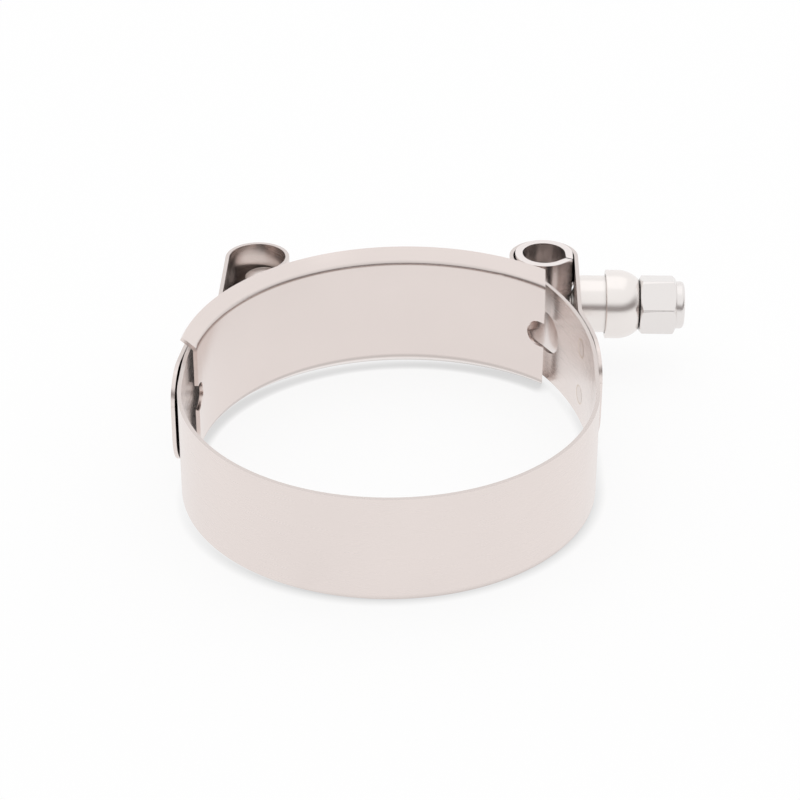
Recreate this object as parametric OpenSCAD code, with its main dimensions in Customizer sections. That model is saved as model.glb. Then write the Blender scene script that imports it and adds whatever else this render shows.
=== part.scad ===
// T-bolt band clamp for a hose: a folded stainless strip with a floating bridge, drawn shut by a T bolt.
// The hose runs along Z. The bolt runs along X behind the ring, with its nut at +X.
// Z = 0 is the strip's lower edge.

/* [Strip] */
// Width of the strip
band_w = 19; // [17:0.5:24]
// Thickness of the strip
band_t = 0.7; // [0.5:0.05:0.9]
// Inside radius of the round front, where the hose seats
seat_r = 35; // [30:0.5:45]
// Straight run on the nut's side, behind the round front
nut_side_run = 9; // [7:0.5:10]
// Straight run on the T head's side, behind the round front
head_side_run = 5.5; // [4:0.5:8]
// How far the nut's end turns in towards its loop, in degrees
nut_end_turn = 37; // [34:0.5:39]
// How far the T head's end turns in towards its loop, in degrees
head_end_turn = 30; // [28:0.5:33]
// Width of the slots that the bolt passes through
slot_w = 8; // [7.2:0.1:9]
// How far the slots run forward of the bolt
slot_reach = 15; // [11:0.5:16]
// How far the slots run behind the bolt
slot_back = 4; // [3.5:0.1:4.5]

/* [Loops and tails] */
// How far inside the seat radius the nut's loop is centred
nut_loop_inset = 7.7; // [7:0.1:9]
// How far the nut's loop is centred behind the bolt
nut_loop_back = 0.8; // [0.4:0.1:0.9]
// How far inside the seat radius the T head's loop is centred
head_loop_inset = 9.3; // [8.5:0.1:11]
// Inside radius of the T head's loop
head_loop_r = 5.2; // [4.9:0.1:5.6]
// How far the T head's loop is centred in front of the bolt
head_loop_drop = 1.2; // [0:0.1:1.2]
// Bend radius where a loop's outer wall turns into its tail
tail_bend_r = 8; // [5:0.5:12]
// Gap between a tail and the strip that it is welded to
tail_gap = 0.1; // [0.05:0.05:0.3]
// Where the nut's tail leaves the strip, in degrees along the turned-in end
nut_tail_lift = 10; // [8:0.5:13]
// Straight tip of the nut's tail
nut_tail_tip = 7; // [6.5:0.5:10]
// Where the T head's tail leaves the strip, in degrees along the turned-in end
head_tail_lift = 7; // [2:0.5:9]
// Straight tip of the T head's tail
head_tail_tip = 10; // [7:0.5:16]
// Corner radius of the tails' tips
tail_corner_r = 6; // [2:0.5:6.5]
// Diameter of the weld spots
weld_d = 4; // [2:0.5:5]

/* [Bridge] */
// Thickness of the bridge
bridge_t = 0.7; // [0.5:0.05:0.9]
// How much larger the bridge's inside radius is than the seat's
bridge_spread = 1.7; // [1.7:0.1:2.2]
// How far the bridge's centre lies behind the seat's
bridge_back = 6.4; // [6.3:0.1:8]
// How far the bridge has floated towards the nut
bridge_shift = 3.1; // [2.6:0.1:3.1]
// How much lower the wall between the flanges is than the strip
bridge_under = 0.3; // [-0.5:0.1:1]
// How far the bridge stands above the middle of the strip
bridge_lift = 0.3; // [0:0.1:0.6]
// How far the flanges flare out from the wall, in degrees
flange_turn = 50; // [40:1:60]
// Radius of the fold between the wall and a flange
fold_r = 1.3; // [1:0.05:1.8]
// Flat part of the flanges beyond the fold
flange_len = 2.6; // [1.5:0.1:3]
// Gap between the bridge's end and the strip on the nut's side
bridge_end_gap = 1; // [0.4:0.05:1.4]
// Angle at which the bridge ends on the T head's side
bridge_head_end = 174.5; // [165:0.5:174.5]
// Radius of the notches in the bridge's ends
notch_r = 2.5; // [1:0.1:3]
// Depth of the notches
notch_depth = 3.2; // [3:0.1:4.5]

/* [T bolt] */
// Diameter of the bolt
bolt_d = 6; // [5:0.1:6.4]
// How far the end of the thread stops short of the nut's end
bolt_short = 0.8; // [-4:0.1:2]
// Chamfer at the end of the thread
bolt_chamfer = 0.7; // [0.3:0.1:1]
// Room between the bridge and the bolt
bolt_clear = 0.35; // [0.2:0.05:1]
// Diameter of the T head
head_d = 7; // [6.6:0.1:7.3]
// Height of the T head
head_h = 12; // [11:0.5:15]
// Room between the T head and its loop
head_clear = 0.15; // [0.1:0.05:0.3]
// Length of the cone between the T head and the shank
neck_len = 1.2; // [0.5:0.1:2]

/* [Trunnion] */
// Outside radius of the rolled trunnion
trunnion_r = 5.3; // [5:0.05:5.6]
// Thickness of its sheet
trunnion_t = 1.35; // [1:0.05:1.6]
// How far it stands out of the loop at each end
trunnion_over = 0.8; // [0:0.1:1]
// How far its middle lies behind the bolt
trunnion_back = 0.4; // [0.1:0.05:0.5]
// How far its seam stands out beyond the round
trunnion_point = 0.5; // [0.2:0.05:0.55]
// Angle of its seam below the bolt, towards the hose
seam_turn = 24; // [20:1:30]
// Width of the seam
seam_gap = 0.25; // [0.1:0.05:0.5]
// Room between the trunnion and its loop
loop_clear = 0.35; // [0.3:0.05:0.6]
// Diameter of the cross hole for the bolt
cross_d = 7; // [6.8:0.1:7.6]

/* [Sleeve and cap] */
// Outside diameter of the sleeve
sleeve_d = 10.6; // [9.8:0.1:11]
// Length of the sleeve
sleeve_len = 9.1; // [8:0.1:11]
// Diameter of the hole through the sleeve and the cap
sleeve_bore_d = 6.6; // [6.5:0.1:7]
// Room round the sleeve in the cap
cap_room = 0.25; // [0.1:0.05:0.6]
// How far the cap closes in, from its rim to its end face
cap_close = 1.8; // [1.2:0.1:2.2]
// Length of the cap
cap_len = 6.3; // [5.5:0.1:7]
// Straight part of the cap, from its rim
cap_rim_len = 2.3; // [2:0.1:2.7]
// Thickness of the cap
cap_t = 0.85; // [0.6:0.05:0.9]
// Chamfer round both ends of the sleeve
sleeve_chamfer = 0.25; // [0.1:0.05:0.5]
// Room where the sleeve seats in the cap, and the cap on the nut
seat_gap = 0.1; // [0.05:0.05:0.2]

/* [Lock nut] */
// Across the flats
nut_af = 10; // [9.6:0.1:10.5]
// Height of the hexagon
nut_hex_h = 6.7; // [6:0.1:8]
// Diameter of the collar that holds the locking ring
collar_d = 8.8; // [8.6:0.1:9.3]
// Height of the collar
collar_h = 1.6; // [1.2:0.1:2]
// Outside diameter of the locking ring
ring_d = 7.8; // [7.4:0.1:8]
// Height of the locking ring
ring_h = 2; // [1.5:0.1:2.5]
// Thickness of the collar's edge, which is rolled over the locking ring
roll_t = 0.4; // [0.3:0.05:0.6]
// Room all round between the bolt and the nut
thread_clear = 0.05; // [0.03:0.01:0.09]
// How far the nut is turned on the bolt, in degrees
nut_turn = 14; // [0:1:59]

/* [Hidden] */
$fn = 96;

eps = 0.01;
// How far straight stretches of sheet run into round ones, and how much thinner each face of them is
lap = 0.05;
skin = 0.005;
// How far past its end the bridge is swept before that end is cut square, in degrees
end_allowance = 6;
// How far the slots' cutters stand clear of the loops' inner wall, outer wall and round
slot_clear_inner = 3;
slot_clear_outer = 1.5;
slot_clear_round = 0.5;
// How far the cone behind the T head starts inside it
neck_sink = 0.4;
// How far inside the flats the nut's chamfers start, and the round of its collar's edge
nut_face_inset = 0.2;
collar_round_r = 0.7;
steel = [0.82, 0.79, 0.76];
bright_steel = [0.88, 0.87, 0.86];
dark_steel = [0.62, 0.59, 0.57];
ring_white = [0.86, 0.88, 0.90];

mid_z = band_w / 2;
strip_r = seat_r + band_t / 2;

bridge_r = seat_r + bridge_spread;
bridge_outer_r = bridge_r + bridge_t;
bridge_wall_h = band_w - bridge_under;
bridge_low_z = mid_z + bridge_lift - bridge_wall_h / 2;
bridge_high_z = bridge_low_z + bridge_wall_h;

bolt_y = bridge_back + bridge_outer_r + bolt_clear + bolt_d / 2;

// A loop is [x and y of its centre, radius of the strip's middle line, its side's straight run, its end's turn]
nut_loop = [
    seat_r - nut_loop_inset,
    bolt_y + nut_loop_back,
    trunnion_r + loop_clear + band_t / 2,
    nut_side_run,
    nut_end_turn,
];
head_loop = [
    seat_r - head_loop_inset,
    bolt_y - head_loop_drop,
    head_loop_r + band_t / 2,
    head_side_run,
    head_end_turn,
];

// The T head is pulled against the wall of its loop
head_pull = sqrt(max(0, pow(head_loop_r - head_d / 2 - head_clear, 2) - pow(head_loop_drop, 2)));
head_x = head_pull - head_loop[0];

// The stack on the bolt, from the nut's loop outwards
wall_x = nut_loop[0] + nut_loop[2] + band_t / 2;
sleeve_end_x = wall_x + sleeve_len;
cap_r = sleeve_d / 2 + cap_room + cap_t;
cap_round_r = (pow(cap_len - cap_rim_len, 2) + pow(cap_close, 2)) / (2 * cap_close);
cap_round_y = cap_r - cap_round_r;
cap_seat = cap_rim_len + sqrt(cap_room * (2 * (cap_round_r - cap_t) - cap_room));
cap_x = sleeve_end_x - sleeve_chamfer - cap_seat + 2 * seat_gap;
nut_x = cap_x + cap_len + seat_gap;
nut_end_x = nut_x + nut_hex_h + collar_h;
nut_bore_r = bolt_d / 2 + thread_clear;
bolt_len = nut_end_x - bolt_short - head_x;

// The middle line's bend radius, so that the turned-in end runs straight into its loop
function end_bend_r(loop) =
    ((loop[0] - strip_r) * cos(loop[4]) + (loop[1] - loop[3]) * sin(loop[4]) - loop[2]) / (1 - cos(loop[4]));
function end_centre(loop) = [strip_r - end_bend_r(loop), loop[3]];
function polar(centre, r, a) = [centre[0] + r * cos(a), centre[1] + r * sin(a)];

// Round stretch of the strip in plan, about a centre, with its middle line at radius r
module strip_arc(centre, r, from, to) {
    steps = ceil((to - from) / 60);
    far = 2 * r + band_t;
    translate([centre[0], centre[1]])
        intersection() {
            difference() {
                circle(r + band_t / 2);
                circle(r - band_t / 2);
            }
            polygon([[0, 0], for (i = [0 : steps]) polar([0, 0], far, from + i * (to - from) / steps)]);
        }
}

// Straight stretch of the strip in plan, from one point of the middle line to another
module strip_run(from, to)
    translate(from)
        rotate(atan2(to[1] - from[1], to[0] - from[0]))
            translate([-lap, skin - band_t / 2])
                square([norm(to - from) + 2 * lap, band_t - 2 * skin]);

// A tail's run: [x and y of its bend's centre, radius of its middle line, angle at which it meets the strip]
function tail_of(loop) =
    let (
        end_c = end_centre(loop),
        tail_r = end_bend_r(loop) + band_t + tail_gap,
        bend_x = loop[0] + loop[2] + tail_bend_r,
        bend_y = end_c[1] + sqrt(pow(tail_r + tail_bend_r, 2) - pow(bend_x - end_c[0], 2))
    )
    [bend_x, bend_y, tail_r, atan2(bend_y - end_c[1], bend_x - end_c[0])];

// One side of the strip in plan, towards +X: side, turned-in end, loop and tail
module side_plan(loop, tail_lift, tip_len) {
    end_r = end_bend_r(loop);
    end_c = end_centre(loop);
    tail = tail_of(loop);
    outer_x = loop[0] + loop[2];
    tail_stop = tail[3] - 4 * lap / tail[2] * 180 / PI;
    tip_start = polar(end_c, tail[2], tail_lift);
    strip_run([strip_r, 0], [strip_r, loop[3]]);
    strip_arc(end_c, end_r, 0, loop[4]);
    strip_run(polar(end_c, end_r, loop[4]), polar(loop, loop[2], 180 + loop[4]));
    strip_arc(loop, loop[2], 0, 180 + loop[4]);
    strip_run([outer_x, tail[1]], [outer_x, loop[1]]);
    strip_arc([tail[0], tail[1]], tail_bend_r, 180, 180 + tail[3]);
    strip_run(polar(end_c, tail[2], tail[3]), polar(end_c, tail[2], tail_stop));
    strip_arc(end_c, tail[2], tail_lift, tail_stop);
    strip_run(tip_start, polar(tip_start, tip_len, tail_lift - 90));
}

// What is cut off a tail's tip to round its two corners
module tip_corners(loop, tail_lift, tip_len) {
    tip_start = polar(end_centre(loop), tail_of(loop)[2], tail_lift);
    inner = band_t / 2 + tail_gap / 2;
    translate([tip_start[0], tip_start[1], mid_z])
        rotate([0, 0, tail_lift - 90])
            for (side = [0, 1])
                mirror([0, 0, side])
                    translate([tip_len - tail_corner_r, -inner, mid_z - tail_corner_r])
                        difference() {
                            cube([tail_corner_r + 1, inner + band_t, tail_corner_r + 1]);
                            translate([0, -1, 0])
                                rotate([-90, 0, 0])
                                    cylinder(r = tail_corner_r, h = inner + band_t + 2);
                        }
}

// Pair of weld spots that join a tail to the strip inside it
module weld_spots(loop, tail_lift) {
    end_c = end_centre(loop);
    for (z = [band_w / 4, band_w * 3 / 4])
        translate([end_c[0], end_c[1], z])
            rotate([0, 0, (tail_of(loop)[3] + tail_lift) / 2])
                translate([end_bend_r(loop), 0, 0])
                    rotate([0, 90, 0])
                        cylinder(d = weld_d, h = band_t + tail_gap);
}

// Slot through a loop's inner wall, which runs forward along the turned-in end
module bolt_slot(loop) {
    front_y = bolt_y - slot_reach + slot_w / 2;
    back_y = bolt_y + slot_back - slot_w / 2;
    inner_x = loop[0] - loop[2] - slot_clear_inner;
    run_x = loop[0] + loop[2] - slot_clear_outer;
    clear_y = loop[1] - loop[2] - slot_clear_round;
    translate([inner_x, 0, mid_z])
        rotate([90, 0, 90]) {
            linear_extrude(height = loop[0] - inner_x) {
                translate([front_y, -slot_w / 2])
                    square([back_y - front_y, slot_w]);
                translate([front_y, 0])
                    circle(d = slot_w);
                translate([back_y, 0])
                    circle(d = slot_w);
            }
            linear_extrude(height = run_x - inner_x) {
                translate([front_y, -slot_w / 2])
                    square([max(eps, clear_y - front_y), slot_w]);
                translate([front_y, 0])
                    circle(d = slot_w);
            }
        }
}

// The strip: its plan raised to its width, with the welds, the slots for the bolt and the tips' corners
module band()
    color(steel)
    difference() {
        union() {
            linear_extrude(height = band_w) {
                strip_arc([0, 0], strip_r, 180, 360);
                side_plan(nut_loop, nut_tail_lift, nut_tail_tip);
                mirror([1, 0])
                    side_plan(head_loop, head_tail_lift, head_tail_tip);
            }
            weld_spots(nut_loop, nut_tail_lift);
            mirror([1, 0, 0])
                weld_spots(head_loop, head_tail_lift);
        }
        bolt_slot(nut_loop);
        translate([nut_loop[0], bolt_y, mid_z])
            rotate([0, 90, 0])
                cylinder(d = slot_w, h = nut_loop[2] + band_t);
        tip_corners(nut_loop, nut_tail_lift, nut_tail_tip);
        mirror([1, 0, 0]) {
            bolt_slot(head_loop);
            tip_corners(head_loop, head_tail_lift, head_tail_tip);
        }
    }

// Flange in section, from the top of the wall: a fold and a flat part that flares outwards
module flange_section() {
    far = 2 * fold_r;
    translate([fold_r, 0]) {
        intersection() {
            difference() {
                circle(fold_r);
                circle(fold_r - bridge_t);
            }
            polygon([[0, 0], polar([0, 0], far, 180 - flange_turn), [-far, 0]]);
        }
        rotate(180 - flange_turn)
            translate([fold_r - bridge_t + skin, -flange_len])
                square([bridge_t - 2 * skin, flange_len + lap]);
    }
}

// Where the bridge's outer corner comes near the strip on the nut's side
function bridge_nut_end() =
    let (
        end_c = end_centre(nut_loop),
        reach = end_bend_r(nut_loop) - band_t / 2 - bridge_end_gap,
        away = end_c - [bridge_shift, bridge_back],
        d = norm(away),
        r = bridge_outer_r
    )
    atan2(away[1], away[0]) - acos((r * r + d * d - reach * reach) / (2 * r * d));

// What is cut out of a bridge's end for its notch
module end_notch()
    translate([0, 0, bridge_r - 1]) {
        translate([-notch_r, -1, 0])
            cube([2 * notch_r, 1 + notch_depth - notch_r, bridge_t + 2]);
        translate([0, notch_depth - notch_r, 0])
            cylinder(r = notch_r, h = bridge_t + 2);
    }

// The bridge: a curved wall with a flange flared outwards along both edges, and a notch in each end
module bridge() {
    nut_end = bridge_nut_end();
    from = nut_end - end_allowance;
    cut_x = bridge_outer_r * cos(nut_end);
    color(steel)
    translate([bridge_shift, bridge_back, 0])
        difference() {
            rotate([0, 0, from])
                rotate_extrude(angle = bridge_head_end - from)
                    translate([bridge_r, 0]) {
                        translate([0, bridge_low_z])
                            square([bridge_t, bridge_wall_h]);
                        translate([0, bridge_high_z])
                            flange_section();
                        translate([0, bridge_low_z])
                            mirror([0, 1])
                                flange_section();
                    }
            translate([cut_x, 0, -band_w])
                cube([bridge_r, 2 * bridge_r, 3 * band_w]);
            for (end = [[nut_end, 0], [bridge_head_end, 1]])
                translate([0, 0, mid_z + bridge_lift])
                    rotate([0, 90, end[0]])
                        mirror([0, end[1], 0])
                            end_notch();
        }
}

// The bolt: an upright T head with domed ends, a short cone and a shank with a chamfered end
module t_bolt()
    color(dark_steel)
    translate([head_x, bolt_y, mid_z]) {
        intersection() {
            cylinder(d = head_d, h = head_h, center = true);
            sphere(d = head_h);
        }
        rotate([0, 90, 0]) {
            cylinder(d = bolt_d, h = bolt_len - bolt_chamfer);
            translate([0, 0, bolt_len - bolt_chamfer])
                cylinder(d1 = bolt_d, d2 = bolt_d - 2 * bolt_chamfer, h = bolt_chamfer);
            translate([0, 0, head_d / 2 - neck_sink])
                cylinder(d1 = head_d, d2 = bolt_d, h = neck_len);
        }
    }

// Round outline that comes to a point at its seam
module teardrop(r, point) {
    half = acos(r / point);
    circle(r);
    polygon([[0, 0], polar([0, 0], r, -half), [point, 0], polar([0, 0], r, half)]);
}

// The trunnion: sheet rolled into a tube, with its seam towards the nut and a cross hole for the bolt
module trunnion()
    color(bright_steel)
    translate([nut_loop[0], bolt_y + trunnion_back, 0])
        difference() {
            rotate([0, 0, -seam_turn])
                translate([0, 0, -trunnion_over])
                    linear_extrude(height = band_w + 2 * trunnion_over)
                        difference() {
                            teardrop(trunnion_r, trunnion_r + trunnion_point);
                            teardrop(trunnion_r - trunnion_t, trunnion_r - trunnion_t + trunnion_point);
                            translate([0, -seam_gap / 2])
                                square([trunnion_r + 1, seam_gap]);
                        }
            translate([-trunnion_r - 1, -trunnion_back, mid_z])
                rotate([0, 90, 0])
                    cylinder(d = cross_d, h = 2 * trunnion_r + 2);
        }

// Ring with a chamfer round both ends
module chamfered_tube(r, bore_r, length, chamfer)
    rotate_extrude()
        polygon([
            [bore_r, 0],
            [r - chamfer, 0],
            [r, chamfer],
            [r, length - chamfer],
            [r - chamfer, length],
            [bore_r, length],
        ]);

// The sleeve between the loop and the cap
module spacer_sleeve()
    color(bright_steel)
    translate([wall_x, bolt_y, mid_z])
        rotate([0, 90, 0])
            chamfered_tube(sleeve_d / 2, sleeve_bore_d / 2, sleeve_len, sleeve_chamfer);

// Half section of a cup's solid form: a straight rim and a round that closes towards its end
module cup_section(r, round_r, length)
    intersection() {
        union() {
            square([r, cap_rim_len]);
            intersection() {
                translate([cap_round_y, cap_rim_len])
                    circle(round_r);
                translate([0, cap_rim_len])
                    square([r, length]);
            }
            translate([0, cap_rim_len - eps])
                square([max(eps, cap_round_y), length]);
        }
        square([r, length]);
    }

// The cap: a domed cup, open towards the sleeve, with a hole for the bolt
module thrust_cap()
    color(bright_steel)
    translate([cap_x, bolt_y, mid_z])
        rotate([0, 90, 0])
            rotate_extrude()
                difference() {
                    cup_section(cap_r, cap_round_r, cap_len);
                    cup_section(cap_r - cap_t, cap_round_r - cap_t, cap_len - cap_t);
                    square([sleeve_bore_d / 2, cap_len]);
                }

// The nut: a hexagon with both ends chamfered, and a round collar rolled over the locking ring
module lock_nut() {
    corner_r = nut_af / 2 / cos(30);
    flat_r = nut_af / 2 - nut_face_inset;
    chamfer_h = (corner_r - flat_r) * tan(30);
    top = nut_hex_h + collar_h;
    color(bright_steel)
    translate([nut_x, bolt_y, mid_z])
        rotate([0, 90, 0])
            rotate([0, 0, nut_turn])
                difference() {
                    union() {
                        intersection() {
                            cylinder(r = corner_r, h = nut_hex_h, $fn = 6);
                            rotate_extrude()
                                polygon([
                                    [0, 0],
                                    [flat_r, 0],
                                    [corner_r + eps, chamfer_h],
                                    [corner_r + eps, nut_hex_h - chamfer_h],
                                    [flat_r, nut_hex_h],
                                    [0, nut_hex_h],
                                ]);
                        }
                        cylinder(d = collar_d, h = top - collar_round_r);
                        rotate_extrude() {
                            translate([0, top - collar_round_r - eps])
                                square([collar_d / 2 - collar_round_r, collar_round_r + eps]);
                            intersection() {
                                translate([collar_d / 2 - collar_round_r, top - collar_round_r])
                                    circle(collar_round_r);
                                translate([collar_d / 2 - collar_round_r, top - collar_round_r])
                                    square(collar_round_r);
                            }
                        }
                    }
                    translate([0, 0, -1])
                        cylinder(r = nut_bore_r, h = top + 2);
                    translate([0, 0, top - roll_t - ring_h])
                        cylinder(d = ring_d, h = ring_h);
                    translate([0, 0, top - roll_t - eps])
                        cylinder(d = ring_d - 2 * roll_t, h = roll_t + 1);
                }
}

// The soft ring inside the nut's collar that grips the thread
module locking_ring()
    color(ring_white)
    translate([nut_x + nut_hex_h + collar_h - roll_t - ring_h, bolt_y, mid_z])
        rotate([0, 90, 0])
            difference() {
                cylinder(d = ring_d, h = ring_h);
                translate([0, 0, -1])
                    cylinder(r = nut_bore_r, h = ring_h + 2);
            }

band();
bridge();
t_bolt();
trunnion();
spacer_sleeve();
thrust_cap();
lock_nut();
locking_ring();
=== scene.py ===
# %% [markdown]
# T-bolt hose clamp in satin stainless
#
# A clamp of this kind is bent sheet and turned steel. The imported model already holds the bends, slots
# and turned shapes at their real size, so this lesson is about what the solid model leaves out: the
# broken edges that catch the light, the rolled thread, the grain of the strip, the weld marks and a
# white studio for the metal to mirror.

import math

import bmesh
import bpy
from mathutils import Matrix, Vector


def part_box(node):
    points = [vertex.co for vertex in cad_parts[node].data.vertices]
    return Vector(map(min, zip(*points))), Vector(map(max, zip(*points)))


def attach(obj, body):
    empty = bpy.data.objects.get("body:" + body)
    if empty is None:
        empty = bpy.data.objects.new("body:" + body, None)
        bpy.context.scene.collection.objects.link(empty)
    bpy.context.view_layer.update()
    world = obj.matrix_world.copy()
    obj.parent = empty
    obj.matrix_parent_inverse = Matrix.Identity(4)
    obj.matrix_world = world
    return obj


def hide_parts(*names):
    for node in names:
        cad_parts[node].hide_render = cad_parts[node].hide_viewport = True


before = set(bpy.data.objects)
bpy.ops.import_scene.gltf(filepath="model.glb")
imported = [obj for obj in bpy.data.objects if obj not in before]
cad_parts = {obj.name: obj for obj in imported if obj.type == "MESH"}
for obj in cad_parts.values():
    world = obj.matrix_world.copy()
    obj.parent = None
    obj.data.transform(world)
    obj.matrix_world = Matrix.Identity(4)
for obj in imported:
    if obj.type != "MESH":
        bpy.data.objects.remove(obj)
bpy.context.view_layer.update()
MM = 0.001
WHITE = (1, 1, 1, 1)
scene = bpy.context.scene
scene.view_settings.view_transform = "Standard"
print("nodes:", sorted(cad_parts))

# %% [markdown]
# The camera
#
# The picture was taken with a long lens from about 31 degrees above the clamp. A long lens keeps the
# far side of the ring nearly as large as the near side, so the focal length matters as much as the
# angle. The camera is placed by the point it looks at, its distance, its height angle, a small turn and
# a small roll.

# %% Camera at the picture's angle
AIM = Vector((1.64, 10.93, 9.5)) * MM
DISTANCE = 436.9 * MM
HEIGHT_ANGLE = math.radians(30.79)
TURN = math.radians(1.42)
ROLL = math.radians(0.14)
LENS = 112.5
SENSOR = 36
NEAR_LIMIT = 10 * MM

level = Vector((math.sin(TURN), -math.cos(TURN), 0))
to_camera = level * math.cos(HEIGHT_ANGLE) + Vector((0, 0, math.sin(HEIGHT_ANGLE)))
camera_data = bpy.data.cameras.new("camera")
camera_data.lens = LENS
camera_data.sensor_width = SENSOR
camera_data.clip_start = NEAR_LIMIT
camera = bpy.data.objects.new("camera", camera_data)
scene.collection.objects.link(camera)
stand = Matrix.Translation(AIM + to_camera * DISTANCE)
look = (-to_camera).to_track_quat("-Z", "Y").to_matrix().to_4x4()
camera.matrix_world = stand @ look @ Matrix.Rotation(ROLL, 4, "Z")
scene.camera = camera
print("camera at", [round(v, 4) for v in camera.matrix_world.translation])

# %% [markdown]
# Nodes by code
#
# Three kinds of node come up again and again in the finishes below: a little arithmetic, a range that
# is mapped to another range, and a colour that is multiplied by another. A short helper for each keeps
# the later cells about steel and not about sockets.

# %% Helpers for nodes
def add_math(nodes, operation, value=None):
    node = nodes.new("ShaderNodeMath")
    node.operation = operation
    if value is not None:
        node.inputs[1].default_value = value
    return node


def add_range(nodes, low, high, to_low=0.0, to_high=1.0, interpolation="LINEAR"):
    node = nodes.new("ShaderNodeMapRange")
    node.interpolation_type = interpolation
    node.inputs["From Min"].default_value = low
    node.inputs["From Max"].default_value = high
    node.inputs["To Min"].default_value = to_low
    node.inputs["To Max"].default_value = to_high
    return node


def add_multiply(nodes):
    node = nodes.new("ShaderNodeMix")
    node.data_type = "RGBA"
    node.blend_type = "MULTIPLY"
    node.inputs["Factor"].default_value = 1.0
    return node


print("helpers: add_math, add_range, add_multiply")

# %% [markdown]
# Painted shade in folds, and sheared edges
#
# Two things darken the colour of the steel. Narrow folds get painted shade: an Ambient Occlusion node
# finds them and darkens the colour there, where shade falls. The sheared edges of a strip are duller
# than its rolled sides. They are the faces that look straight up or down, so the object's own normal
# finds them.

# %% Painted shade in the folds, and sheared edges
FOLD_REACH = 1.8 * MM
FOLD_RAYS = 8
FOLD_DEEP = 0.1
FOLD_OPEN = 0.68
EDGE_FROM = 0.85
EDGE_FULL = 0.95


# Paints shade into the folds and makes the sheared edges duller; both darken the colour.
def fold_shade_and_sheared_edges(nodes, links, place, left_in_fold, sheared):
    fold = nodes.new("ShaderNodeAmbientOcclusion")
    fold.samples = FOLD_RAYS
    fold.inputs["Distance"].default_value = FOLD_REACH
    painted_fold_shade = add_range(nodes, FOLD_DEEP, FOLD_OPEN, left_in_fold, 1.0)
    facing = nodes.new("ShaderNodeSeparateXYZ")
    upright = add_math(nodes, "ABSOLUTE")
    edge = add_range(nodes, EDGE_FROM, EDGE_FULL, 1.0, sheared)
    dimmed = add_math(nodes, "MULTIPLY")
    links.new(fold.outputs["AO"], painted_fold_shade.inputs["Value"])
    links.new(place.outputs["Normal"], facing.inputs["Vector"])
    links.new(facing.outputs["Z"], upright.inputs[0])
    links.new(upright.outputs["Value"], edge.inputs["Value"])
    links.new(painted_fold_shade.outputs["Result"], dimmed.inputs[0])
    links.new(edge.outputs["Result"], dimmed.inputs[1])
    return dimmed.outputs["Value"]


print("folds are found within", round(FOLD_REACH / MM, 2), "mm")

# %% [markdown]
# Steel finishes
#
# All the metal is stainless, but each piece was made in another way. The strip is cold rolled, so its
# grain runs along its length: in object space that means a noise that changes fast with height and
# slowly along the ring. The turned pieces have grain that runs round the bolt, so there the noise
# changes fast along X. The same nodes make both, with another scale for the coordinates. This grain
# drives the roughness and a very shallow bump. A second, slower noise gives the colour the faint clouds
# that any real sheet shows.

# %% Grained steel from stretched noise
GRAIN_DEPTH = 0.02 * MM
CLOUD_SCALE = 90.0
ROUGH_SWING = 0.02
GRAIN_LOW = 0.3
GRAIN_HIGH = 0.7


def grained_steel(name, colour, roughness, grain_scale, grain, blotch, left_in_fold=0.35, sheared=1.0):
    material = bpy.data.materials.new(name)
    material.use_nodes = True
    nodes = material.node_tree.nodes
    links = material.node_tree.links
    shader = nodes["Principled BSDF"]
    shader.inputs["Metallic"].default_value = 1.0
    place = nodes.new("ShaderNodeTexCoord")
    place.name = "place"
    stretch = nodes.new("ShaderNodeMapping")
    stretch.inputs["Scale"].default_value = grain_scale
    lines = nodes.new("ShaderNodeTexNoise")
    lines.inputs["Scale"].default_value = 1.0
    lines.inputs["Detail"].default_value = 4.0
    links.new(place.outputs["Object"], stretch.inputs["Vector"])
    links.new(stretch.outputs["Vector"], lines.inputs["Vector"])

    clouds = nodes.new("ShaderNodeTexNoise")
    clouds.inputs["Scale"].default_value = CLOUD_SCALE
    clouds.inputs["Detail"].default_value = 3.0
    tint = nodes.new("ShaderNodeMix")
    tint.data_type = "RGBA"
    tint.inputs["A"].default_value = (*[c * (1 - blotch) for c in colour], 1)
    tint.inputs["B"].default_value = (*[min(1, c * (1 + blotch)) for c in colour], 1)
    # Painted shade: the colour is darkened in narrow folds, and on the sheared edges.
    painted_shade_and_sheared_edges = add_multiply(nodes)
    painted_shade_and_sheared_edges.name = "painted_shade_and_sheared_edges"
    links.new(place.outputs["Object"], clouds.inputs["Vector"])
    links.new(clouds.outputs["Fac"], tint.inputs["Factor"])
    links.new(tint.outputs["Result"], painted_shade_and_sheared_edges.inputs["A"])
    links.new(fold_shade_and_sheared_edges(nodes, links, place, left_in_fold, sheared), painted_shade_and_sheared_edges.inputs["B"])
    links.new(painted_shade_and_sheared_edges.outputs["Result"], shader.inputs["Base Color"])

    smoothest = roughness * (1 - ROUGH_SWING)
    roughest = roughness * (1 + ROUGH_SWING)
    rough = add_range(nodes, GRAIN_LOW, GRAIN_HIGH, smoothest, roughest)
    bump = nodes.new("ShaderNodeBump")
    bump.name = "bump"
    bump.inputs["Strength"].default_value = grain
    bump.inputs["Distance"].default_value = GRAIN_DEPTH
    links.new(lines.outputs["Fac"], rough.inputs["Value"])
    links.new(rough.outputs["Result"], shader.inputs["Roughness"])
    links.new(lines.outputs["Fac"], bump.inputs["Height"])
    links.new(bump.outputs["Normal"], shader.inputs["Normal"])
    return material


print("grain depth:", round(GRAIN_DEPTH / MM, 3), "mm")

# %% [markdown]
# One finish for each way of making
#
# The strip and the bridge share their grain, but the bridge is a little glossier and darker. The bolt
# is rougher, because it is forged and rolled, and gets less painted shade in its folds. The sleeve and
# the cap are turned, the trunnion is rolled from sheet, and the nut is a shade cooler than the rest.

# %% Six steels
STRIP_GRAIN = (150, 150, 9000)
BOLT_GRAIN = (4000, 300, 300)
TURNED_GRAIN = (6000, 200, 200)
ROLLED_GRAIN = (200, 200, 6000)
NUT_GRAIN = (2500, 900, 900)
SHEARED = 0.85

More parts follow.
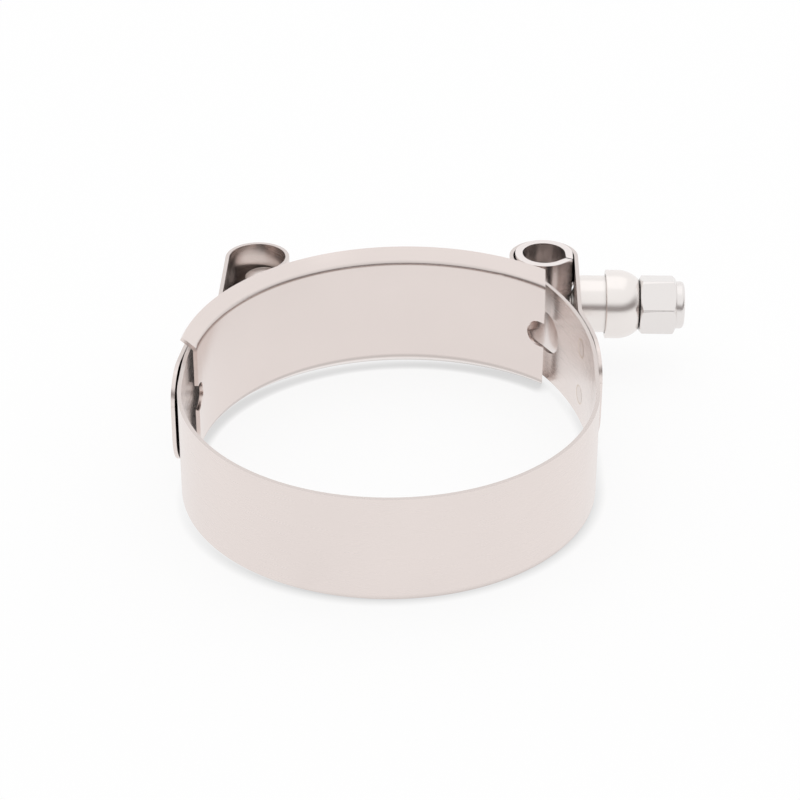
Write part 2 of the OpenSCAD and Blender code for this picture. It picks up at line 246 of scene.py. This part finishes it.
strip_steel = grained_steel("strip_steel", (0.815, 0.737, 0.707), 0.27, STRIP_GRAIN, 0.02, 0.02,
                            sheared=SHEARED)
bridge_steel = grained_steel("bridge_steel", (0.785, 0.705, 0.675), 0.2, STRIP_GRAIN, 0.02, 0.02,
                             sheared=SHEARED)
# The bolt's folds get only a light painted shade.
bolt_steel = grained_steel("bolt_steel", (0.82, 0.775, 0.75), 0.28, BOLT_GRAIN, 0.15, 0.06,
                           left_in_fold=0.9)
turned_steel = grained_steel("turned_steel", (0.86, 0.815, 0.79), 0.24, TURNED_GRAIN, 0.04, 0.03)
rolled_steel = grained_steel("rolled_steel", (0.86, 0.80, 0.78), 0.24, ROLLED_GRAIN, 0.04, 0.03)
nut_steel = grained_steel("nut_steel", (0.82, 0.785, 0.77), 0.24, NUT_GRAIN, 0.06, 0.03)
steels = (strip_steel, bridge_steel, bolt_steel, turned_steel, rolled_steel, nut_steel)
print("steel finishes:", [steel.name for steel in steels])

# %% [markdown]
# Weld marks
#
# Each tail is held by two resistance welds. The electrodes leave a shallow round dent on both faces,
# with a thin ring of straw-coloured heat tint. The distance from the middle of each weld, in object
# space, is enough to draw both: a smooth step of the distance gives the dent, and a colour halfway up
# that step gives the ring.

# %% Distance to the nearest weld
WELD_PLACES = ((34.20, 21.97), (-34.00, 18.27))
WELD_HEIGHTS = (4.75, 14.25)
welds = [Vector((x, y, z)) * MM for x, y in WELD_PLACES for z in WELD_HEIGHTS]
nodes = strip_steel.node_tree.nodes
links = strip_steel.node_tree.links
nearest = None
for middle in welds:
    reach = nodes.new("ShaderNodeVectorMath")
    reach.operation = "DISTANCE"
    reach.inputs[1].default_value = middle
    links.new(nodes["place"].outputs["Object"], reach.inputs[0])
    if nearest is None:
        nearest = reach.outputs["Value"]
        continue
    least = add_math(nodes, "MINIMUM")
    links.new(nearest, least.inputs[0])
    links.new(reach.outputs["Value"], least.inputs[1])
    nearest = least.outputs["Value"]
print("weld marks:", len(welds))

# %% Dents and heat tint on the strip
DENT_INNER = 1.6 * MM
DENT_OUTER = 2.1 * MM
DENT_DEPTH = 0.08 * MM
DENT_STRENGTH = 0.6
DENT_TINT = (0.93, 0.92, 0.91, 1)
RING_TINT = (0.80, 0.72, 0.60, 1)

shader = nodes["Principled BSDF"]
dent = add_range(nodes, DENT_INNER, DENT_OUTER, interpolation="SMOOTHSTEP")
press = nodes.new("ShaderNodeBump")
press.inputs["Strength"].default_value = DENT_STRENGTH
press.inputs["Distance"].default_value = DENT_DEPTH
links.new(nearest, dent.inputs["Value"])
links.new(dent.outputs["Result"], press.inputs["Height"])
links.new(nodes["bump"].outputs["Normal"], press.inputs["Normal"])
links.new(press.outputs["Normal"], shader.inputs["Normal"])

heat = nodes.new("ShaderNodeValToRGB")
heat.color_ramp.elements[0].color = DENT_TINT
heat.color_ramp.elements[1].color = WHITE
heat.color_ramp.elements.new(0.5).color = RING_TINT
tinted = add_multiply(nodes)
links.new(dent.outputs["Result"], heat.inputs["Fac"])
links.new(nodes["painted_shade_and_sheared_edges"].outputs["Result"], tinted.inputs["A"])
links.new(heat.outputs["Color"], tinted.inputs["B"])
links.new(tinted.outputs["Result"], shader.inputs["Base Color"])
print("dents:", round(DENT_OUTER * 2 / MM, 2), "mm across")

# %% [markdown]
# Folded flanges
#
# The bridge's flanges are turned over a forming roll. Where each fold begins, the steel tips just far
# enough to mirror the dim band of wall, and that dark line is painted into the colour here as well: a
# painted dark reflection. Both folds lie at the same distance above and below the bridge's middle, so
# the height in object space finds them, and the colour is darkened softly to each side.

# %% Painted dark reflection along the folds
BRIDGE_MIDDLE = 9.8 * MM
FOLD_HEIGHT = 9.75 * MM
FOLD_LINE_WIDTH = 0.65 * MM
FOLD_LINE_DARKNESS = 0.76

nodes = bridge_steel.node_tree.nodes
links = bridge_steel.node_tree.links
height = nodes.new("ShaderNodeSeparateXYZ")
links.new(nodes["place"].outputs["Object"], height.inputs["Vector"])
away = height.outputs["Z"]
for step in (BRIDGE_MIDDLE, FOLD_HEIGHT):
    shift = add_math(nodes, "SUBTRACT", step)
    amount = add_math(nodes, "ABSOLUTE")
    links.new(away, shift.inputs[0])
    links.new(shift.outputs["Value"], amount.inputs[0])
    away = amount.outputs["Value"]
# Painted dark reflection: a soft dark line in the colour along each fold.
painted_fold = add_range(nodes, 0.0, FOLD_LINE_WIDTH, FOLD_LINE_DARKNESS, 1.0, interpolation="SMOOTHSTEP")
fold_line_painted = add_multiply(nodes)
links.new(away, painted_fold.inputs["Value"])
links.new(nodes["painted_shade_and_sheared_edges"].outputs["Result"], fold_line_painted.inputs["A"])
links.new(painted_fold.outputs["Result"], fold_line_painted.inputs["B"])
links.new(fold_line_painted.outputs["Result"], nodes["Principled BSDF"].inputs["Base Color"])
print("dull lines:", round(FOLD_HEIGHT / MM, 2), "mm above and below the bridge's middle")

# %% [markdown]
# Pieces that stand for imported ones
#
# A finished copy takes the place of its imported piece: it rides on the same body, and the imported
# piece is hidden. A Weighted Normal modifier lets each large face rule the shading at its rim, so
# flat faces stay flat beside their bevels.

# %% Showing a finished piece
SMOOTH_UP_TO = math.radians(40)


def show_piece(mesh, node, body, material):
    mesh.shade_smooth()
    mesh.set_sharp_from_angle(angle=SMOOTH_UP_TO)
    mesh.materials.clear()
    mesh.materials.append(material)
    piece = bpy.data.objects.new(mesh.name, mesh)
    scene.collection.objects.link(piece)
    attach(piece, body)
    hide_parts(node)
    flatten = piece.modifiers.new("flat_faces", "WEIGHTED_NORMAL")
    flatten.keep_sharp = True


print("smooth shading up to", round(math.degrees(SMOOTH_UP_TO)), "degrees")

# %% [markdown]
# Broken edges
#
# No sheared strip or turned ring has a knife edge. A tenth of a millimetre is enough for each edge to
# show as a thin line of its own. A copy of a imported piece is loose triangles, so its points are merged
# and its flat faces joined first. Then every edge sharper than 25 degrees is bevelled. The long edges
# of the nut get a wider, rounder bevel before that. The bolt is cut off where its thread begins. Widths
# are given in millimetres.

# %% Copies with broken edges
SHARP_FROM = math.radians(25)
FLAT_WITHIN = math.radians(0.5)
MERGE_WITHIN = 0.02 * MM
NO_LENGTH = 0.002 * MM
LONG_EDGE = 3 * MM
ON_PLANE = 0.0001 * MM


def sharp_edges(shape):
    return [e for e in shape.edges if len(e.link_faces) == 2 and e.calc_face_angle(0) > SHARP_FROM]


def cut_off(shape, end_x, way):
    everything = shape.verts[:] + shape.edges[:] + shape.faces[:]
    bmesh.ops.bisect_plane(shape, geom=everything, dist=ON_PLANE, plane_co=(end_x, 0, 0),
                           plane_no=(way, 0, 0), clear_outer=True)


def close_ends(shape):
    bmesh.ops.holes_fill(shape, edges=[e for e in shape.edges if e.is_boundary])


def broken_edges(node, width, body, material, cut_x=None, corner=None):
    mesh = bpy.data.meshes.new(node + "_finished")
    shape = bmesh.new()
    shape.from_mesh(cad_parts[node].data)
    bmesh.ops.remove_doubles(shape, verts=shape.verts, dist=MERGE_WITHIN)
    bmesh.ops.dissolve_degenerate(shape, edges=shape.edges, dist=NO_LENGTH)
    bmesh.ops.dissolve_limit(shape, verts=shape.verts, edges=shape.edges, angle_limit=FLAT_WITHIN)
    if corner is not None:
        long_edges = [e for e in sharp_edges(shape) if e.calc_length() > LONG_EDGE]
        bmesh.ops.bevel(shape, geom=long_edges, offset=corner * MM, offset_type="OFFSET", segments=3,
                        profile=0.5, affect="EDGES", clamp_overlap=False, material=-1)
    sharp = sharp_edges(shape)
    bmesh.ops.bevel(shape, geom=sharp, offset=width * MM, offset_type="OFFSET", segments=2,
                    profile=0.5, affect="EDGES", clamp_overlap=True, material=-1)
    if cut_x is not None:
        cut_off(shape, cut_x, 1)
        close_ends(shape)
    shape.to_mesh(mesh)
    shape.free()
    print(node, "sharp edges:", len(sharp), "faces:", len(mesh.polygons))
    show_piece(mesh, node, body, material)


broken_edges("band", 0.08, "clamp", strip_steel)
broken_edges("bridge", 0.08, "clamp", bridge_steel)
broken_edges("trunnion", 0.12, "clamp", rolled_steel)
broken_edges("spacer_sleeve", 0.06, "clamp", turned_steel)
broken_edges("thrust_cap", 0.25, "cap", turned_steel)
broken_edges("lock_nut", 0.1, "nut", nut_steel, corner=0.4)

# %% [markdown]
# The rolled thread
#
# The bolt is M6, with a pitch of one millimetre. The solid model has a plain shank, which is right for
# the simulation, but the thread shows from behind and inside the nut. One pitch of the profile is drawn
# as a few points and spun with a step along the axis, which makes a right-handed helix. Neighbouring
# turns share their root, so merging doubles joins them into one skin. Two cuts square the ends, and the
# last part is squeezed to the chamfer of the bolt's point.

# %% One pitch of the thread, spun along the bolt
PITCH = 1.0 * MM
CREST = 2.99 * MM
ROOT = 2.4 * MM
HALF_CREST = 0.07
HALF_FLANKS = 0.375
HALF_PITCH = 0.5
TURN_STEPS = 32
THREAD_START = 2.0 * MM
TURN_MERGE = 0.004 * MM

bolt_low, bolt_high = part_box("t_bolt")
thread_end = bolt_high.x
axis_y = (bolt_low.y + bolt_high.y) / 2
axis_z = (bolt_low.z + bolt_high.z) / 2
outline = (
    (-HALF_PITCH, ROOT),
    (-HALF_FLANKS, ROOT),
    (-HALF_CREST, CREST),
    (HALF_CREST, CREST),
    (HALF_FLANKS, ROOT),
    (HALF_PITCH, ROOT),
)
helix = bmesh.new()
profile = []
for along, radius in outline:
    profile.append(helix.verts.new((THREAD_START - PITCH + along * PITCH, axis_y + radius, axis_z)))
strokes = [helix.edges.new(pair) for pair in zip(profile, profile[1:])]
turns = math.ceil((thread_end - THREAD_START) / PITCH) + 2
bmesh.ops.spin(helix, geom=profile + strokes, cent=(0, axis_y, axis_z), axis=(1, 0, 0),
               dvec=(PITCH / TURN_STEPS, 0, 0), angle=turns * math.tau, steps=turns * TURN_STEPS)
bmesh.ops.remove_doubles(helix, verts=helix.verts, dist=TURN_MERGE)
print("thread turns:", turns)

# %% Square ends and the bolt's point
CHAMFER = 0.7 * MM
THREAD_LAP = 0.2 * MM

cut_off(helix, THREAD_START - THREAD_LAP, -1)
cut_off(helix, thread_end, 1)
for point in helix.verts:
    limit = CREST - max(0, point.co.x - (thread_end - CHAMFER))
    arm = Vector((0, point.co.y - axis_y, point.co.z - axis_z))
    if arm.length > limit:
        point.co -= arm * (1 - limit / arm.length)
close_ends(helix)
bmesh.ops.recalc_face_normals(helix, faces=helix.faces)
thread_mesh = bpy.data.meshes.new("t_bolt_thread")
helix.to_mesh(thread_mesh)
open_edges = sum(1 for e in helix.edges if e.is_boundary)
helix.free()
show_piece(thread_mesh, "t_bolt", "clamp", bolt_steel)
broken_edges("t_bolt", 0.1, "clamp", bolt_steel, cut_x=THREAD_START)
print("thread faces:", len(thread_mesh.polygons), "open edges:", open_edges)

# %% [markdown]
# The locking ring
#
# Nylon is a soft, slightly cloudy white. Its gloss is low, a little light passes into it, and a moulded
# ring has a fine uneven skin.

# %% Nylon
SKIN_SCALE = 1800.0
SKIN_DEPTH = 0.02 * MM

nylon = bpy.data.materials.new("ring_nylon")
nylon.use_nodes = True
nodes = nylon.node_tree.nodes
links = nylon.node_tree.links
shader = nodes["Principled BSDF"]
shader.inputs["Roughness"].default_value = 0.48
shader.inputs["Subsurface Weight"].default_value = 0.1
place = nodes.new("ShaderNodeTexCoord")
skin = nodes.new("ShaderNodeTexNoise")
skin.inputs["Scale"].default_value = SKIN_SCALE
skin.inputs["Detail"].default_value = 3.0
cloudy = nodes.new("ShaderNodeMix")
cloudy.data_type = "RGBA"
cloudy.inputs["A"].default_value = (0.76, 0.79, 0.81, 1)
cloudy.inputs["B"].default_value = (0.84, 0.86, 0.87, 1)
uneven = nodes.new("ShaderNodeBump")
uneven.inputs["Strength"].default_value = 0.3
uneven.inputs["Distance"].default_value = SKIN_DEPTH
links.new(place.outputs["Object"], skin.inputs["Vector"])
links.new(skin.outputs["Fac"], cloudy.inputs["Factor"])
links.new(cloudy.outputs["Result"], shader.inputs["Base Color"])
links.new(skin.outputs["Fac"], uneven.inputs["Height"])
links.new(uneven.outputs["Normal"], shader.inputs["Normal"])
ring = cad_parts["locking_ring"]
ring.data.materials.clear()
ring.data.materials.append(nylon)
print("nylon on", ring.name)

# %% [markdown]
# The floor
#
# The clamp lies on a white sweep. It rests on the front of the strip and on the bridge's lower flange,
# which reaches lower, so the floor is tilted by about two degrees against the clamp. The slope is given,
# and the height is measured: the lowest point of all the imported pieces, seen along the floor's
# own upright, touches it.

# %% Resting floor
FLOOR_UP = Vector((-0.0148, 0.0344, 1)).normalized()
FLOOR_HALF = 3

lowest = min(FLOOR_UP.dot(v.co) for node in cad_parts.values() for v in node.data.vertices)
floor_mesh = bpy.data.meshes.new("floor")
sheet = bmesh.new()
bmesh.ops.create_grid(sheet, x_segments=1, y_segments=1, size=FLOOR_HALF)
tilt = FLOOR_UP.to_track_quat("Z", "Y").to_matrix()
bmesh.ops.rotate(sheet, verts=sheet.verts, cent=(0, 0, 0), matrix=tilt)
bmesh.ops.translate(sheet, verts=sheet.verts, vec=FLOOR_UP * lowest)
sheet.to_mesh(floor_mesh)
sheet.free()
floor = bpy.data.objects.new("floor", floor_mesh)
scene.collection.objects.link(floor)
print("floor touches at", round(lowest / MM, 3), "mm")

# %% [markdown]
# A white floor that keeps its shadow
#
# To the camera the sweep is plain white. A floor that only glows would lose the shadow that sets the
# clamp down, so part of it stays an ordinary matt white. The metal mirrors a floor with a little more
# glow in it, so that the inside of the ring stays nearly as light as its front. Light Path picks the
# rays that see either mixture. All other rays find the matt floor, so the object is lit no brighter for
# it.

# %% Matt white and a glow by the kind of ray
CAMERA_SHARE = 0.85
MIRROR_SHARE = 0.9

floor_white = bpy.data.materials.new("floor_white")
floor_white.use_nodes = True
nodes = floor_white.node_tree.nodes
links = floor_white.node_tree.links
matt = nodes["Principled BSDF"]
matt.inputs["Base Color"].default_value = (0.99, 0.99, 0.99, 1)
matt.inputs["Roughness"].default_value = 0.9
matt.inputs["Specular IOR Level"].default_value = 0.0
glow = nodes.new("ShaderNodeEmission")
ray = nodes.new("ShaderNodeLightPath")
seen = add_math(nodes, "MAXIMUM")
to_eye = add_math(nodes, "MULTIPLY", CAMERA_SHARE)
to_metal = add_math(nodes, "MULTIPLY", MIRROR_SHARE)
either = add_math(nodes, "MAXIMUM")
blend = nodes.new("ShaderNodeMixShader")
links.new(ray.outputs["Is Camera Ray"], seen.inputs[0])
links.new(ray.outputs["Is Transmission Ray"], seen.inputs[1])
links.new(seen.outputs["Value"], to_eye.inputs[0])
links.new(ray.outputs["Is Glossy Ray"], to_metal.inputs[0])
links.new(to_eye.outputs["Value"], either.inputs[0])
links.new(to_metal.outputs["Value"], either.inputs[1])
links.new(either.outputs["Value"], blend.inputs["Fac"])
links.new(matt.outputs["BSDF"], blend.inputs[1])
links.new(glow.outputs["Emission"], blend.inputs[2])
links.new(blend.outputs["Shader"], nodes["Material Output"].inputs["Surface"])
floor_mesh.materials.append(floor_white)
print("floor glow shares:", CAMERA_SHARE, MIRROR_SHARE)

# %% [markdown]
# The line where steel and floor meet
#
# Soft light leaves hardly any shadow right under an edge, yet that thin dark line is what sets a part
# down. An Ambient Occlusion node takes the glow back within two millimetres of the clamp. The floor
# that the metal mirrors keeps its glow.

# %% Contact shadow
CONTACT_REACH = 2.2 * MM
CONTACT_RAYS = 16
CONTACT_DEEP = 0.5
CONTACT_GLOW = 0.74

contact = nodes.new("ShaderNodeAmbientOcclusion")
contact.samples = CONTACT_RAYS
contact.inputs["Distance"].default_value = CONTACT_REACH
shade = add_range(nodes, CONTACT_DEEP, 1.0, CONTACT_GLOW, 1.0)
strength = add_math(nodes, "MAXIMUM")
links.new(contact.outputs["AO"], shade.inputs["Value"])
links.new(shade.outputs["Result"], strength.inputs[0])
links.new(ray.outputs["Is Glossy Ray"], strength.inputs[1])
links.new(strength.outputs["Value"], glow.inputs["Strength"])
print("contact shadow within", round(CONTACT_REACH / MM, 2), "mm")

# %% [markdown]
# The room
#
# Bright metal shows the room more than its own colour. Above the white sweep the room has a soft white
# ceiling, and in front, between them, a band of dimmer wall. That band draws the dark line round a
# turned sleeve and deepens the one along the fold of a flange, where the surface tips just far enough
# to mirror it. The direction's height picks the brightness, and behind the clamp all is white. The
# camera itself sees plain white all round.

# %% World with a dim band of wall
WALL = (0.28, 0.255, 0.25, 1)
WALL_TOP = 0.3
CEILING = 0.5
WALL_FADE = 0.3

world = bpy.data.worlds.new("studio")
scene.world = world
world.use_nodes = True
nodes = world.node_tree.nodes
links = world.node_tree.links
direction = nodes.new("ShaderNodeTexCoord")
split = nodes.new("ShaderNodeSeparateXYZ")
wall = nodes.new("ShaderNodeValToRGB")
wall.color_ramp.elements[0].position = WALL_TOP
wall.color_ramp.elements[0].color = WALL
wall.color_ramp.elements[1].position = CEILING
wall.color_ramp.elements[1].color = WHITE
behind = add_range(nodes, -WALL_FADE, WALL_FADE)
sight = nodes.new("ShaderNodeLightPath")
bright = add_math(nodes, "MAXIMUM")
backdrop = nodes.new("ShaderNodeMix")
backdrop.data_type = "RGBA"
backdrop.inputs["B"].default_value = WHITE
links.new(direction.outputs["Generated"], split.inputs["Vector"])
links.new(split.outputs["Z"], wall.inputs["Fac"])
links.new(split.outputs["Y"], behind.inputs["Value"])
links.new(behind.outputs["Result"], bright.inputs[0])
links.new(sight.outputs["Is Camera Ray"], bright.inputs[1])
links.new(bright.outputs["Value"], backdrop.inputs["Factor"])
links.new(wall.outputs["Color"], backdrop.inputs["A"])
links.new(backdrop.outputs["Result"], nodes["Background"].inputs["Color"])
nodes["Background"].inputs["Strength"].default_value = 1.0
print("wall up to", WALL_TOP, "and ceiling from", CEILING)

# %% [markdown]
# The lamp
#
# One large soft lamp hangs over the clamp and a little behind it, so the shadow falls a little forward
# and stays close under the strip.

# %% Soft lamp
LAMP_PLACE = Vector((0.03, 0.35, 0.94))
LAMP_SIDE = 1.0
LAMP_POWER = 0.5

lamp_data = bpy.data.lights.new("key", "AREA")
lamp_data.shape = "RECTANGLE"
lamp_data.size = LAMP_SIDE
lamp_data.size_y = LAMP_SIDE
lamp_data.energy = LAMP_POWER
lamp = bpy.data.objects.new("key", lamp_data)
scene.collection.objects.link(lamp)
lamp.location = LAMP_PLACE
lamp.rotation_euler = (AIM - LAMP_PLACE).to_track_quat("-Z", "Y").to_euler()
print("lamp:", lamp.name, LAMP_POWER, "W")
